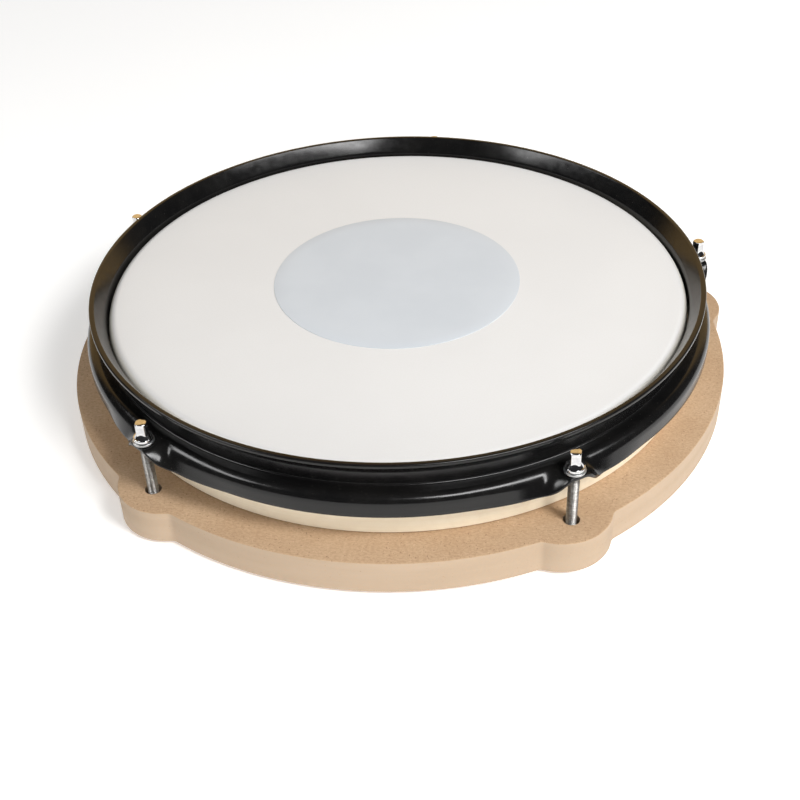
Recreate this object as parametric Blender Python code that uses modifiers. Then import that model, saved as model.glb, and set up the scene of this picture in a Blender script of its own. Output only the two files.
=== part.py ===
"""Five-lug drum practice pad: scalloped board, riser, foam, film head, counter hoop and tension rods."""
import math

import bmesh
import bpy
from mathutils import Vector

MM = 0.001
SHARP_ANGLE = math.radians(35.0)
MERGE = 0.00001                 # metres, under which the modifiers weld points
OBJECT_NAME = "practice_pad"

# Overall layout (millimetres, +Z up, origin on the centre line at the resting plane).
LUGS = 5
LUG_STEP_DEG = 360.0 / LUGS
FIRST_LUG_DEG = 18.0            # one lug sits on +Y (90 degrees)
ROD_CIRCLE_R = 171.5
CONTACT_GAP = 0.3

# Non-slip sheet under the board.
GRIP_R = 158.0
GRIP_T = 1.5

# Board.
BOARD_T = 18.0
BOARD_BOTTOM = GRIP_T
BOARD_TOP = GRIP_T + BOARD_T
BOARD_R = 178.4
LOBE_R = 25.5
LOBE_TIP_R = 187.0
LOBE_FILLET_R = 5.0
BOARD_EASE = 0.6
ROD_HOLE_R = 4.1
NUT_RECESS_R = 10.0
NUT_RECESS_DEPTH = 2.1

# Riser, support disc and foam under the head.
RISER_R = 158.3
RISER_TOP = 36.8
SUPPORT_R = 152.0
SUPPORT_TOP = 49.0
FOAM_R = 151.0

# Film head.
HEAD_TOP = 57.0
HEAD_T = 0.5
HEAD_R = 155.4
HEAD_BEND_R = 5.0
HEAD_FOOT_R = 156.6             # the lip inside the flesh hoop
HEAD_FOOT_TOP = 43.6
HEAD_FOOT_RISE = 1.0            # height of the step from the collar out to the lip
HEAD_FOOT_BOTTOM = 40.8
DOT_R = 67.0
DOT_T = 0.25
DOT_GAP = 0.02
DOT_OFFSET = 3.6                # the dot is stuck on slightly off centre
DOT_OFFSET_DEG = 98.0

# Counter hoop, heights measured down from its rim.
RIM_TOP = 65.1
HOOP_T = 2.3
RIM_OUT_R = 164.1
LIP_T = 2.0
RIM_IN_R = 161.5                # the lip flares from the wall to here
GROOVE_R = 162.0                # outer edge of the groove under the lip
GROOVE_DROP = 2.6
WALL_IN_R = 156.2
FLARE_DROP = 8.2                # the wall starts to flare here
FLARE_BEND_R = 5.0
SHELF_DROP = 16.0
SHELF_END_R = 163.1             # the shelf turns down from here between the lugs
BEND_R = 5.0
FLANGE_LENGTH = 14.25           # along the bend and skirt
EAR_SHELF_END_R = 161.5         # the same three near a lug
EAR_BEND_R = 7.0
EAR_LENGTH = 14.5
EAR_HALF_DEG = 1.0              # flat this far to each side of a rod
FLARED_DEG = 6.5                # turned down to the flared angle here
FLARED_TILT = math.radians(62.0)
CALMING_DEG = 5.0               # the flare starts to fade here
UPRIGHT_DEG = 17.0              # and is gone here
EAR_HOLE_R = 3.5
SKIRT_EDGE = 0.5
WALL_THINNING = 0.1             # the wall is drawn this much thinner than the shelf
STATIONS_DEG = [0.0, 1.2, 2.0, 2.8, 3.6, 4.5, 5.6, 8.0, 12.0, 17.0, 23.5, 30.0]   # sections beside a rod
EAR_HOLE_PHASE = 0.11           # turns the hole's facets off the hoop's stations

# Flesh hoop inside the skirt.
FLESH_IN_R = 157.0
FLESH_OUT_R = 163.6
FLESH_TOP = 46.0
FLESH_BOTTOM = 40.0

# Tension rods, washers and nuts.
ROD_R = 2.65
ROD_TIP_Z = 3.4
EAR_TOP_Z = RIM_TOP - SHELF_DROP
WASHER_R = 5.2
WASHER_BORE_R = 3.2
WASHER_T = 1.2
COLLAR_R = 4.7
SQUARE_HALF = 2.55
CORNER_R = 1.45
ROD_HEAD_TOP = 60.5
HEAD_ANGLES_DEG = (38.0, 10.0, 65.0, 2.0, -1.0)     # the square heads stop at odd angles
NUT_FLANGE_R = 9.0
NUT_BARREL_R = 3.75
NUT_BORE_R = 2.98
NUT_TOP_Z = 13.5

# Wood screws holding the riser to the board.
SCREW_CIRCLE_R = 118.0
SCREW_R = 2.1
SCREW_HEAD_R = 4.2
SCREW_TIP_Z = 31.0
SCREW_PLAY = 0.4                # clearance of the screw holes, on the radius
CUT_OVER = 3.0                  # cutters run this far past the faces that they cut


def clear_scene():
    """Remove whatever the default scene holds."""
    for obj in list(bpy.data.objects):
        bpy.data.objects.remove(obj, do_unlink=True)


def material(name, colour, roughness, metallic=0.0):
    """Return a Principled material with plain values."""
    mat = bpy.data.materials.new(name)
    mat.use_nodes = True
    shader = mat.node_tree.nodes["Principled BSDF"]
    shader.inputs["Base Color"].default_value = (*colour, 1.0)
    shader.inputs["Roughness"].default_value = roughness
    shader.inputs["Metallic"].default_value = metallic
    return mat


def mesh_object(name, bm, collection, mat, origin=(0.0, 0.0, 0.0)):
    """Turn a millimetre bmesh into an object whose origin is at the given millimetre point."""
    shift = Vector(origin)
    for vert in bm.verts:
        vert.co = (vert.co - shift) * MM
    bmesh.ops.recalc_face_normals(bm, faces=bm.faces)
    mesh = bpy.data.meshes.new(name)
    bm.to_mesh(mesh)
    bm.free()
    mesh.shade_smooth()
    mesh.set_sharp_from_angle(angle=SHARP_ANGLE)
    obj = bpy.data.objects.new(name, mesh)
    obj.location = shift * MM
    collection.objects.link(obj)
    if mat is not None:
        mesh.materials.append(mat)
    return obj


def turned(name, profile, steps, collection, mat, centre=(0.0, 0.0), phase=0.0):
    """Revolve an (r, z) profile, which runs up its outer side, with a Screw modifier.

    A profile that starts and ends on the axis stays open there; any other one is a closed loop.
    """
    bm = bmesh.new()
    verts = [bm.verts.new((radius, 0.0, height)) for radius, height in profile]
    for start, end in zip(verts, verts[1:]):
        bm.edges.new((start, end))
    if profile[0][0] > 0.0:
        bm.edges.new((verts[-1], verts[0]))
    obj = mesh_object(name, bm, collection, mat)
    obj.location = (centre[0] * MM, centre[1] * MM, 0.0)
    obj.rotation_euler = (0.0, 0.0, phase)
    screw = obj.modifiers.new("revolve", "SCREW")
    screw.axis = "Z"
    screw.steps = screw.render_steps = steps
    screw.use_merge_vertices = True
    screw.merge_threshold = MERGE
    screw.use_normal_flip = True
    screw.use_smooth_shade = True
    return obj


def stack(sections):
    """Skin a list of equal-length vertex loops from bottom to top and cap both ends."""
    bm = bmesh.new()
    rings = [[bm.verts.new(point) for point in loop] for loop in sections]
    size = len(rings[0])
    for lower, upper in zip(rings, rings[1:]):
        for step in range(size):
            nxt = (step + 1) % size
            bm.faces.new((lower[step], lower[nxt], upper[nxt], upper[step]))
    bm.faces.new(list(reversed(rings[0])))
    bm.faces.new(rings[-1])
    return bm


def cut(target, cutters, hidden):
    """Subtract the cutters from the target with exact Boolean modifiers."""
    for cutter in cutters:
        for collection in list(cutter.users_collection):
            collection.objects.unlink(cutter)
        hidden.objects.link(cutter)
        cutter.hide_render = True
        cutter.display_type = "WIRE"
        mod = target.modifiers.new(cutter.name, "BOOLEAN")
        mod.operation = "DIFFERENCE"
        mod.solver = "EXACT"
        mod.object = cutter


def lug_angles():
    """Angles of the lugs in radians."""
    return [math.radians(FIRST_LUG_DEG + LUG_STEP_DEG * k) for k in range(LUGS)]


def rod_centre(lug):
    """Plan position of a lug's rod."""
    return ROD_CIRCLE_R * math.cos(lug), ROD_CIRCLE_R * math.sin(lug)


def smooth(value):
    """Smoothstep clamped to 0..1."""
    value = min(max(value, 0.0), 1.0)
    return value * value * (3.0 - 2.0 * value)


def arc_points(centre, radius, start, end, count):
    """Points on an arc from start to end angle (radians), both ends included."""
    return [(centre[0] + radius * math.cos(start + (end - start) * k / (count - 1)),
             centre[1] + radius * math.sin(start + (end - start) * k / (count - 1)))
            for k in range(count)]


def board_outline():
    """Scalloped outline: a circle with a rounded lobe at each lug and filleted inside corners."""
    lobe_c = LOBE_TIP_R - LOBE_R
    reach, near = BOARD_R + LOBE_FILLET_R, LOBE_R + LOBE_FILLET_R
    cos_half = (reach ** 2 + lobe_c ** 2 - near ** 2) / (2.0 * reach * lobe_c)
    half = math.acos(cos_half)
    hollow = (reach * math.cos(half), reach * math.sin(half))
    lobe_dir = math.atan2(hollow[1], hollow[0] - lobe_c)
    back = math.atan2(-hollow[1], -(hollow[0] - lobe_c))
    step = math.radians(LUG_STEP_DEG)
    loop = []
    for lug in lug_angles():
        local = arc_points((hollow[0], -hollow[1]), LOBE_FILLET_R, math.pi - half, -back, 5)
        local += arc_points((lobe_c, 0.0), LOBE_R, -lobe_dir, lobe_dir, 13)[1:-1]
        local += arc_points(hollow, LOBE_FILLET_R, back, -(math.pi - half), 5)
        local += arc_points((0.0, 0.0), BOARD_R, half, step - half, 15)[1:-1]
        cos_l, sin_l = math.cos(lug), math.sin(lug)
        loop += [(x * cos_l - y * sin_l, x * sin_l + y * cos_l) for x, y in local]
    return loop


def build_board(collection, hidden, mat):
    """Board with eased edges, rod holes, nut recesses and countersunk screw holes."""
    bm = bmesh.new()
    bm.faces.new([bm.verts.new((x, y, BOARD_TOP)) for x, y in board_outline()])
    board = mesh_object("base_board", bm, collection, mat)
    solidify = board.modifiers.new("thickness", "SOLIDIFY")
    solidify.thickness = BOARD_T * MM
    solidify.offset = -1.0
    ease = board.modifiers.new("ease", "BEVEL")
    ease.width = BOARD_EASE * MM
    ease.segments = 1
    ease.limit_method = "ANGLE"
    ease.angle_limit = math.radians(60.0)
    cutters = []
    below, above = BOARD_BOTTOM - CUT_OVER, BOARD_TOP + CUT_OVER
    recess_z = BOARD_BOTTOM + NUT_RECESS_DEPTH
    for number, lug in enumerate(lug_angles(), start=1):
        profile = [(0.0, below), (NUT_RECESS_R, below), (NUT_RECESS_R, recess_z),
                   (ROD_HOLE_R, recess_z), (ROD_HOLE_R, above), (0.0, above)]
        cutters.append(turned(f"cut_rod_{number}", profile, 24, hidden, None, rod_centre(lug)))
    sink_r, hole_r = SCREW_HEAD_R + SCREW_PLAY + 0.6, SCREW_R + SCREW_PLAY
    for number, centre in enumerate(screw_centres(), start=1):
        profile = [(0.0, below), (sink_r, below), (sink_r, BOARD_BOTTOM + 0.9),
                   (hole_r, BOARD_BOTTOM + 4.2), (hole_r, above), (0.0, above)]
        cutters.append(turned(f"cut_screw_{number}", profile, 16, hidden, None, centre))
    cut(board, cutters, hidden)
    return board


def screw_centres():
    """Plan positions of the wood screws, between the lugs."""
    half = math.radians(LUG_STEP_DEG / 2.0)
    return [(SCREW_CIRCLE_R * math.cos(a + half), SCREW_CIRCLE_R * math.sin(a + half))
            for a in lug_angles()]


def build_riser(collection, hidden, mat):
    """Solid riser disc with blind pilot holes for the screws."""
    low, high = BOARD_TOP + CONTACT_GAP, RISER_TOP
    riser = disc("riser_disc", RISER_R, low, high, 0.5, collection, mat, 96)
    cutters = []
    hole_r, hole_top = SCREW_R + SCREW_PLAY, SCREW_TIP_Z + 1.0
    for number, centre in enumerate(screw_centres(), start=1):
        hole = [(0.0, low - CUT_OVER), (hole_r, low - CUT_OVER), (hole_r, hole_top), (0.0, hole_top)]
        cutters.append(turned(f"cut_pilot_{number}", hole, 16, hidden, None, centre))
    cut(riser, cutters, hidden)
    return riser


def disc(name, radius, low, high, ease, collection, mat, steps=64, centre=(0.0, 0.0)):
    """Flat disc with eased rims."""
    profile = [(0.0, low), (radius - ease, low), (radius, low + ease),
               (radius, high - ease), (radius - ease, high), (0.0, high)]
    return turned(name, profile, steps, collection, mat, centre)


def head_profile():
    """Film head section: flat playing area, rounded edge, collar and the lip inside the flesh hoop."""
    def skin(depth):
        return fillet([(0.0, HEAD_TOP - depth, 0.0), (HEAD_R - depth, HEAD_TOP - depth, HEAD_BEND_R - depth),
                       (HEAD_R - depth, HEAD_FOOT_TOP + HEAD_FOOT_RISE - depth, 0.6),
                       (HEAD_FOOT_R - depth, HEAD_FOOT_TOP - depth, 0.4),
                       (HEAD_FOOT_R - depth, HEAD_FOOT_BOTTOM, 0.0)], 3)
    return skin(HEAD_T) + list(reversed(skin(0.0)))


def flesh_profile():
    """Rounded box section of the flesh hoop."""
    a, b, low, high, c = FLESH_IN_R, FLESH_OUT_R, FLESH_BOTTOM, FLESH_TOP, 0.9
    return [(a + c, low), (b - c, low), (b, low + c), (b, high - c), (b - c, high),
            (a + c, high), (a, high - c), (a, low + c)]


def fillet(corners, steps):
    """Open outline through (x, y, radius) corners with every inner corner turned into an arc."""
    outline = [corners[0][:2]]
    for before, corner, after in zip(corners, corners[1:], corners[2:]):
        here = Vector(corner[:2])
        back, ahead = Vector(before[:2]) - here, Vector(after[:2]) - here
        back.normalize()
        ahead.normalize()
        half = back.angle(ahead) / 2.0
        centre = here + (back + ahead).normalized() * (corner[2] / math.sin(half))
        first = here + back * (corner[2] / math.tan(half)) - centre
        last = here + ahead * (corner[2] / math.tan(half)) - centre
        for step in range(steps + 1):
            outline.append(tuple(centre + first.slerp(last, step / steps).normalized() * corner[2]))
    return outline + [corners[-1][:2]]


def skirt_strip(offset_deg):
    """Outer and inner points of the bend and skirt, or of the ear, at an angle from a lug."""
    away = abs(offset_deg)
    calm = smooth((away - CALMING_DEG) / (UPRIGHT_DEG - CALMING_DEG))
    tilt = FLARED_TILT * smooth((away - EAR_HALF_DEG) / (FLARED_DEG - EAR_HALF_DEG))
    tilt += (0.5 * math.pi - FLARED_TILT) * calm
    bend_r = EAR_BEND_R + (BEND_R - EAR_BEND_R) * calm
    start_r = EAR_SHELF_END_R + (SHELF_END_R - EAR_SHELF_END_R) * calm
    length = EAR_LENGTH + (FLANGE_LENGTH - EAR_LENGTH) * calm
    quarter = 0.5 * math.pi * bend_r
    stops = [quarter * k / 4.0 for k in range(1, 5)] + [length - SKIRT_EDGE]
    outer, inner = [(start_r, -SHELF_DROP)], [(start_r, -SHELF_DROP - HOOP_T)]
    for stop in stops:
        angle = min(stop / bend_r, tilt)
        straight = stop - bend_r * angle
        radius = start_r + bend_r * math.sin(angle) + straight * math.cos(angle)
        height = -SHELF_DROP - bend_r * (1.0 - math.cos(angle)) - straight * math.sin(angle)
        outer.append((radius, height))
        inner.append((radius - HOOP_T * math.sin(angle), height - HOOP_T * math.cos(angle)))
    tip = (radius + SKIRT_EDGE * math.cos(angle), height - SKIRT_EDGE * math.sin(angle))
    for points, depth in ((outer, SKIRT_EDGE), (inner, HOOP_T - SKIRT_EDGE)):
        points.append((tip[0] - depth * math.sin(angle), tip[1] - depth * math.cos(angle)))
    return outer, inner


def hoop_section(offset_deg):
    """Closed (r, z) section of the counter hoop, heights from the rim."""
    wall_out = WALL_IN_R + HOOP_T - WALL_THINNING
    lip = fillet([(WALL_IN_R, -12.0, 0.0), (WALL_IN_R, -FLARE_DROP, FLARE_BEND_R), (RIM_IN_R, 0.0, 0.9),
                  (RIM_OUT_R, 0.0, 0.9), (RIM_OUT_R, -LIP_T, 0.6), (GROOVE_R, -GROOVE_DROP, 0.5),
                  (wall_out, 0.6 - FLARE_DROP, 4.0), (wall_out, -SHELF_DROP, 1.1),
                  (wall_out + 2.5, -SHELF_DROP, 0.0)], 2)
    outer, inner = skirt_strip(offset_deg)
    under = -SHELF_DROP - HOOP_T
    foot = [(WALL_IN_R + 1.2, under), (WALL_IN_R + 0.35, under + 0.35), (WALL_IN_R, under + 1.2)]
    return lip[:-1] + outer + list(reversed(inner)) + foot


def build_hoop(collection, hidden, mat):
    """Triple-flanged hoop: flared rim, wall, shelf and drop skirt opened into ears at the lugs."""
    offsets = [-v for v in reversed(STATIONS_DEG[1:])] + STATIONS_DEG + [LUG_STEP_DEG / 2.0]
    bm = bmesh.new()
    rings = []
    for lug in lug_angles():
        for offset in offsets:
            angle = lug + math.radians(offset)
            ring = [bm.verts.new((r * math.cos(angle), r * math.sin(angle), RIM_TOP + z))
                    for r, z in hoop_section(offset)]
            rings.append(ring)
    size = len(rings[0])
    for index, ring in enumerate(rings):
        following = rings[(index + 1) % len(rings)]
        for step in range(size):
            nxt = (step + 1) % size
            bm.faces.new((ring[step], ring[nxt], following[nxt], following[step]))
    bmesh.ops.triangulate(bm, faces=bm.faces)
    hoop = mesh_object("counter_hoop", bm, collection, mat)
    cutters = []
    low, high = EAR_TOP_Z - HOOP_T - CUT_OVER, EAR_TOP_Z + CUT_OVER
    hole = [(0.0, low), (EAR_HOLE_R, low), (EAR_HOLE_R, high), (0.0, high)]
    for number, lug in enumerate(lug_angles(), start=1):
        cutters.append(turned(f"cut_ear_{number}", hole, 20, hidden, None, rod_centre(lug),
                              EAR_HOLE_PHASE + lug))
    cut(hoop, cutters, hidden)
    return hoop


def round_square(half, corner, level, centre, turn, count=24):
    """Loop of points around a rounded square (corner = half gives a circle)."""
    points = []
    for step in range(count):
        angle = 2.0 * math.pi * step / count
        c, s = math.cos(angle), math.sin(angle)
        flat = half - corner
        power = max(abs(c), abs(s))
        inner = (max(min(c / power, 1.0), -1.0) * flat, max(min(s / power, 1.0), -1.0) * flat)
        x, y = inner[0] + corner * c, inner[1] + corner * s
        points.append((centre[0] + x * math.cos(turn) - y * math.sin(turn),
                       centre[1] + x * math.sin(turn) + y * math.cos(turn), level))
    return points


def build_rod(number, lug, collection, mat):
    """Square-headed tension rod with a round collar; origin on its own axis at the ear.

    Each level is half a width, how square it is (0 round, 1 square) and a height.
    """
    centre = rod_centre(lug)
    seat = EAR_TOP_Z + CONTACT_GAP + WASHER_T + CONTACT_GAP
    levels = [(ROD_R - 0.7, 0.0, ROD_TIP_Z), (ROD_R, 0.0, ROD_TIP_Z + 0.8), (ROD_R, 0.0, seat - 0.01),
              (COLLAR_R - 0.2, 0.0, seat), (COLLAR_R, 0.0, seat + 0.3), (COLLAR_R, 0.0, seat + 1.0),
              (COLLAR_R - 0.45, 0.0, seat + 1.5), (3.3, 0.4, seat + 2.2),
              (SQUARE_HALF, 1.0, seat + 3.6), (SQUARE_HALF, 1.0, ROD_HEAD_TOP - 0.6),
              (SQUARE_HALF - 0.1, 0.2, ROD_HEAD_TOP)]
    sections = []
    turn = math.radians(HEAD_ANGLES_DEG[number - 1])
    for half, squareness, level in levels:
        corner = half - squareness * (half - CORNER_R)
        sections.append(round_square(half, corner, level, centre, turn))
    return mesh_object(f"tension_rod_{number}", stack(sections), collection, mat,
                       (centre[0], centre[1], EAR_TOP_Z))


def build_washer(number, lug, collection, mat):
    """Steel washer under the rod collar."""
    low = EAR_TOP_Z + CONTACT_GAP
    high = low + WASHER_T
    profile = [(WASHER_BORE_R, low), (WASHER_R - 0.2, low), (WASHER_R, low + 0.3),
               (WASHER_R, high - 0.3), (WASHER_R - 0.3, high), (WASHER_BORE_R, high)]
    return turned(f"rod_washer_{number}", profile, 20, collection, mat, rod_centre(lug))


def build_nut(number, lug, collection, mat):
    """Flanged nut let into the underside of the board."""
    low = BOARD_BOTTOM + 0.6
    high = low + 1.2
    profile = [(NUT_BORE_R, low), (NUT_FLANGE_R, low), (NUT_FLANGE_R, high),
               (NUT_BARREL_R, high), (NUT_BARREL_R, NUT_TOP_Z), (NUT_BORE_R, NUT_TOP_Z)]
    return turned(f"t_nut_{number}", profile, 24, collection, mat, rod_centre(lug))


def build_screw(number, centre, collection, mat):
    """Countersunk wood screw from the board up into the riser."""
    low = BOARD_BOTTOM + 0.7
    profile = [(0.0, low), (SCREW_HEAD_R, low), (SCREW_HEAD_R, low + 0.5), (SCREW_R, low + 3.4),
               (SCREW_R, SCREW_TIP_Z - 3.0), (0.0, SCREW_TIP_Z)]
    return turned(f"riser_screw_{number}", profile, 12, collection, mat, centre)


def build():
    """Build every piece of the pad."""
    clear_scene()
    scene = bpy.context.scene
    collection = bpy.data.collections.new(OBJECT_NAME)
    hidden = bpy.data.collections.new("cutters")
    scene.collection.children.link(collection)
    scene.collection.children.link(hidden)

    fibreboard = material("fibreboard", (0.62, 0.44, 0.28), 0.75)
    plywood = material("pale_wood", (0.83, 0.70, 0.50), 0.6)
    packing = material("support_board", (0.55, 0.40, 0.26), 0.8)
    foam = material("foam", (0.05, 0.05, 0.055), 0.9)
    film = material("coated_film", (0.82, 0.81, 0.79), 0.45)
    dot_film = material("dot_film", (0.62, 0.67, 0.72), 0.4)
    black = material("black_enamel", (0.012, 0.012, 0.012), 0.25)
    alloy = material("flesh_hoop_alloy", (0.7, 0.7, 0.7), 0.4, 1.0)
    chrome = material("chromed_steel", (0.75, 0.75, 0.74), 0.15, 1.0)
    zinc = material("zinc_steel", (0.55, 0.54, 0.5), 0.35, 1.0)
    rubber = material("grip_rubber", (0.03, 0.03, 0.03), 0.9)

    disc("grip_sheet", GRIP_R, 0.0, GRIP_T - CONTACT_GAP, 0.2, collection, rubber)
    build_board(collection, hidden, fibreboard)
    build_riser(collection, hidden, plywood)
    disc("support_disc", SUPPORT_R, RISER_TOP + CONTACT_GAP, SUPPORT_TOP, 0.5, collection, packing)
    disc("foam_pad", FOAM_R, SUPPORT_TOP + CONTACT_GAP, HEAD_TOP - HEAD_T - CONTACT_GAP, 0.8,
         collection, foam)
    turned("drum_head", head_profile(), 64, collection, film)
    shift = math.radians(DOT_OFFSET_DEG)
    disc("centre_dot", DOT_R, HEAD_TOP + DOT_GAP, HEAD_TOP + DOT_GAP + DOT_T, 0.1, collection, dot_film,
         64, (DOT_OFFSET * math.cos(shift), DOT_OFFSET * math.sin(shift)))
    turned("flesh_hoop", flesh_profile(), 64, collection, alloy)
    build_hoop(collection, hidden, black)
    for number, lug in enumerate(lug_angles(), start=1):
        build_rod(number, lug, collection, chrome)
        build_washer(number, lug, collection, chrome)
        build_nut(number, lug, collection, zinc)
    for number, centre in enumerate(screw_centres(), start=1):
        build_screw(number, centre, collection, zinc)


build()
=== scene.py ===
"""Looks of the practice pad: fine meshes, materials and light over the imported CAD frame.

Sizes in this file are millimetres and heights are measured from the resting plane, as in the CAD model.
"""
import math

import bmesh
import bpy
import numpy as np
from mathutils import Matrix, Vector


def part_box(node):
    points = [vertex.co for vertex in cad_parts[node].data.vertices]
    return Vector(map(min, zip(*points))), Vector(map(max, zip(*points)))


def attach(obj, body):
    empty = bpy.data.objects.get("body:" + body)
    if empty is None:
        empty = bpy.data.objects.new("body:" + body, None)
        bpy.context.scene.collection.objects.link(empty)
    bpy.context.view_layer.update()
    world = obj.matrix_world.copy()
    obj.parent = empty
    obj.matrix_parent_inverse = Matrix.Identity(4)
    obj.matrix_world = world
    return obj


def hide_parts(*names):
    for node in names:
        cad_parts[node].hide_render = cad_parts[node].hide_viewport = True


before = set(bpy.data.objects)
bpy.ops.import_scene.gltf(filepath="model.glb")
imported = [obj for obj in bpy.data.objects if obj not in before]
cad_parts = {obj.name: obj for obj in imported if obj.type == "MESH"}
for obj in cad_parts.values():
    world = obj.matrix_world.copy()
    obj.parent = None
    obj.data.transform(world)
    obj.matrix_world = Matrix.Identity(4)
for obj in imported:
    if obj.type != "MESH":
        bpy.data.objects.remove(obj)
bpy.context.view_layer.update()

MM = 0.001
LUGS = 5
LUG_STEP_DEG = 360.0 / LUGS
SHARP_DEG = 32.0                # edges sharper than this are shaded as creases
OPEN_SEGMENTS = 256             # round pieces that show
HIDDEN_SEGMENTS = 192           # and round pieces inside the stack


def node_box(node):
    """Lowest and highest corner of a CAD node in millimetres."""
    low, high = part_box(node)
    return np.array(low) / MM, np.array(high) / MM


def node_centre(node):
    """Middle of a CAD node in millimetres."""
    low, high = node_box(node)
    return (low + high) / 2.0


def node_radius(node):
    """Outer radius of a turned CAD node in millimetres."""
    low, high = node_box(node)
    return max(high[0] - low[0], high[1] - low[1]) / 2.0


# Places read from the frame.
ROD_CENTRES = [node_centre(f"rod_washer_{k + 1}")[:2] for k in range(LUGS)]
FIRST_LUG_DEG = math.degrees(math.atan2(ROD_CENTRES[0][1], ROD_CENTRES[0][0]))
RIM_TOP = node_box("counter_hoop")[1][2]
BOARD_LOW, BOARD_HIGH = node_box("base_board")[0][2], node_box("base_board")[1][2]
RISER_LOW, RISER_HIGH = node_box("riser_disc")[0][2], node_box("riser_disc")[1][2]
RISER_R = node_radius("riser_disc")
HEAD_TOP = node_box("drum_head")[1][2]
HEAD_FOOT_BOTTOM = node_box("drum_head")[0][2]

# Film head, and the clamped ring under its lip.
HEAD_T = 0.5
HEAD_FLAT_R = 148.0             # the film is drawn flat out to here
HEAD_R = 155.4
HEAD_BEND_R = 5.0
HEAD_FOOT_R = 156.6
HEAD_FOOT_TOP = 43.6
HEAD_FOOT_RISE = 1.0
EDGE_GLOW_FROM_R = 152.5        # the film's rounded edge gets a painted glow from here, lighter cream as if light shines through it
EDGE_GLOW_FULL_R = 154.5        # and has the full painted glow from here
FLESH_HOOP_WIDTH = 6.6
FLESH_HOOP_ROUND = 1.0

# Board outline.
BOARD_R = 178.4
LOBE_TIP_R = 187.0
LOBE_R = 25.5
LOBE_FILLET_R = 5.0
BOARD_EASE = 0.6
BOARD_EASE_STEPS = 4
FILLET_POINTS = 9
LOBE_POINTS = 33
BAY_POINTS = 49                 # along the circle between two lobes
ROD_HOLE_R = 4.1
NUT_RECESS_R = 10.0
NUT_RECESS_DEPTH = 2.1
CUT_OVER = 3.0                  # cutters run this far past the faces that they cut

# Counter hoop, heights down from the rim.
HOOP_T = 2.3
RIM_OUT_R = 164.1
LIP_T = 2.0
RIM_IN_R = 161.5
GROOVE_R = 162.0
GROOVE_DROP = 2.6
WALL_IN_R = 156.2
WALL_THINNING = 0.1             # the wall is drawn this much thinner than the shelf
FLARE_DROP = 8.2
FLARE_OUTER_RISE = 0.6          # the outer side starts to flare this much higher than the inner side
SHELF_DROP = 16.0
SHELF_START = 2.0               # the flat shelf starts this far out from the wall
SHELF_END_R = 163.1
BEND_R = 5.0
FLANGE_LENGTH = 14.25           # along the bend and skirt
EAR_SHELF_END_R = 161.5         # the same three near a lug
EAR_BEND_R = 7.0
EAR_LENGTH = 14.5
EAR_HALF_DEG = 1.0              # flat this far to each side of a rod
FLARED_DEG = 6.5                # turned down to the flared angle here
FLARED_TILT = math.radians(62.0)
CALMING_DEG = 5.0               # the flare starts to fade here
UPRIGHT_DEG = 17.0              # and is gone here
EAR_HOLE_R = 3.5
EDGE_R = 0.75
EDGE_STEPS = 4                  # in each quarter turn of the rounded edge
BEND_STEPS = 14
SKIRT_STEPS = 4
FINE_UNTIL_DEG = 10.0           # sections stand close together up to here, seen from a lug,
MEDIUM_UNTIL_DEG = 18.0         # less so up to here, and wide apart from there on
FINE_STEP_DEG = 0.4
MEDIUM_STEP_DEG = 0.8
WIDE_STATIONS = 17
HOOP_SHARP_DEG = 50.0

# Tension rods.
ROD_R = 2.65
TIP_CHAMFER = 0.75
THREAD_PITCH = 1.0583
THREAD_DEPTH = 0.42
THREAD_STEPS = 9                # levels in one turn of the thread
THREAD_END_BELOW_SEAT = 5.6
SEAT_GAP = 0.3                  # from the washer's top to the collar's underside
COLLAR_R = 4.7
COLLAR_T = 1.55
COLLAR_ROUND = 0.3
CONE_R = 4.1
CONE_SLOPE = 0.66
SQUARE_HALF = 2.55
CORNER_CUT_R = 3.05
HEAD_DOME_SLOPE = 0.85
HEAD_DOME_EDGE = 0.15
HEAD_EDGE_R = 0.18
HEAD_ANGLES_DEG = (38.0, 10.0, 65.0, 2.0, -1.0)     # the square heads stop at odd angles

# Camera: an orbit about the middle of the hoop's rim plane, in degrees and rim radii; lens in millimetres.
CAM_AZIMUTH = 9.285
CAM_ELEVATION = 31.329
CAM_ROLL = 2.109
CAM_YAW = 0.049
CAM_PITCH = -5.937
CAM_DISTANCE = 4.1652
RIM_R = 164.0
CAM_LENS = 56.587
CAM_SENSOR = 36.0

# Studio, lengths in metres.
FLOOR_HALF_SIZE = 12.0
FLOOR_DROP = 0.00005            # keeps the floor clear of the pad's underside
FLOOR_GLOW = 0.34
SOFT_LIGHT = 0.40               # strength of the even light from all round
LIGHT_TARGET_Z = 0.04


# ---------------------------------------------------------------- curves and meshes

def smooth(value):
    """Smoothstep clamped to 0..1."""
    value = min(max(value, 0.0), 1.0)
    return value * value * (3.0 - 2.0 * value)


def lug_angles():
    """Angles of the lugs in radians."""
    return [math.radians(FIRST_LUG_DEG + LUG_STEP_DEG * k) for k in range(LUGS)]


def arc(centre, radius, start, end, count):
    """Points on an arc from start to end angle in radians, both ends included."""
    return [(centre[0] + radius * math.cos(start + (end - start) * k / (count - 1)),
             centre[1] + radius * math.sin(start + (end - start) * k / (count - 1)))
            for k in range(count)]


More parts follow.
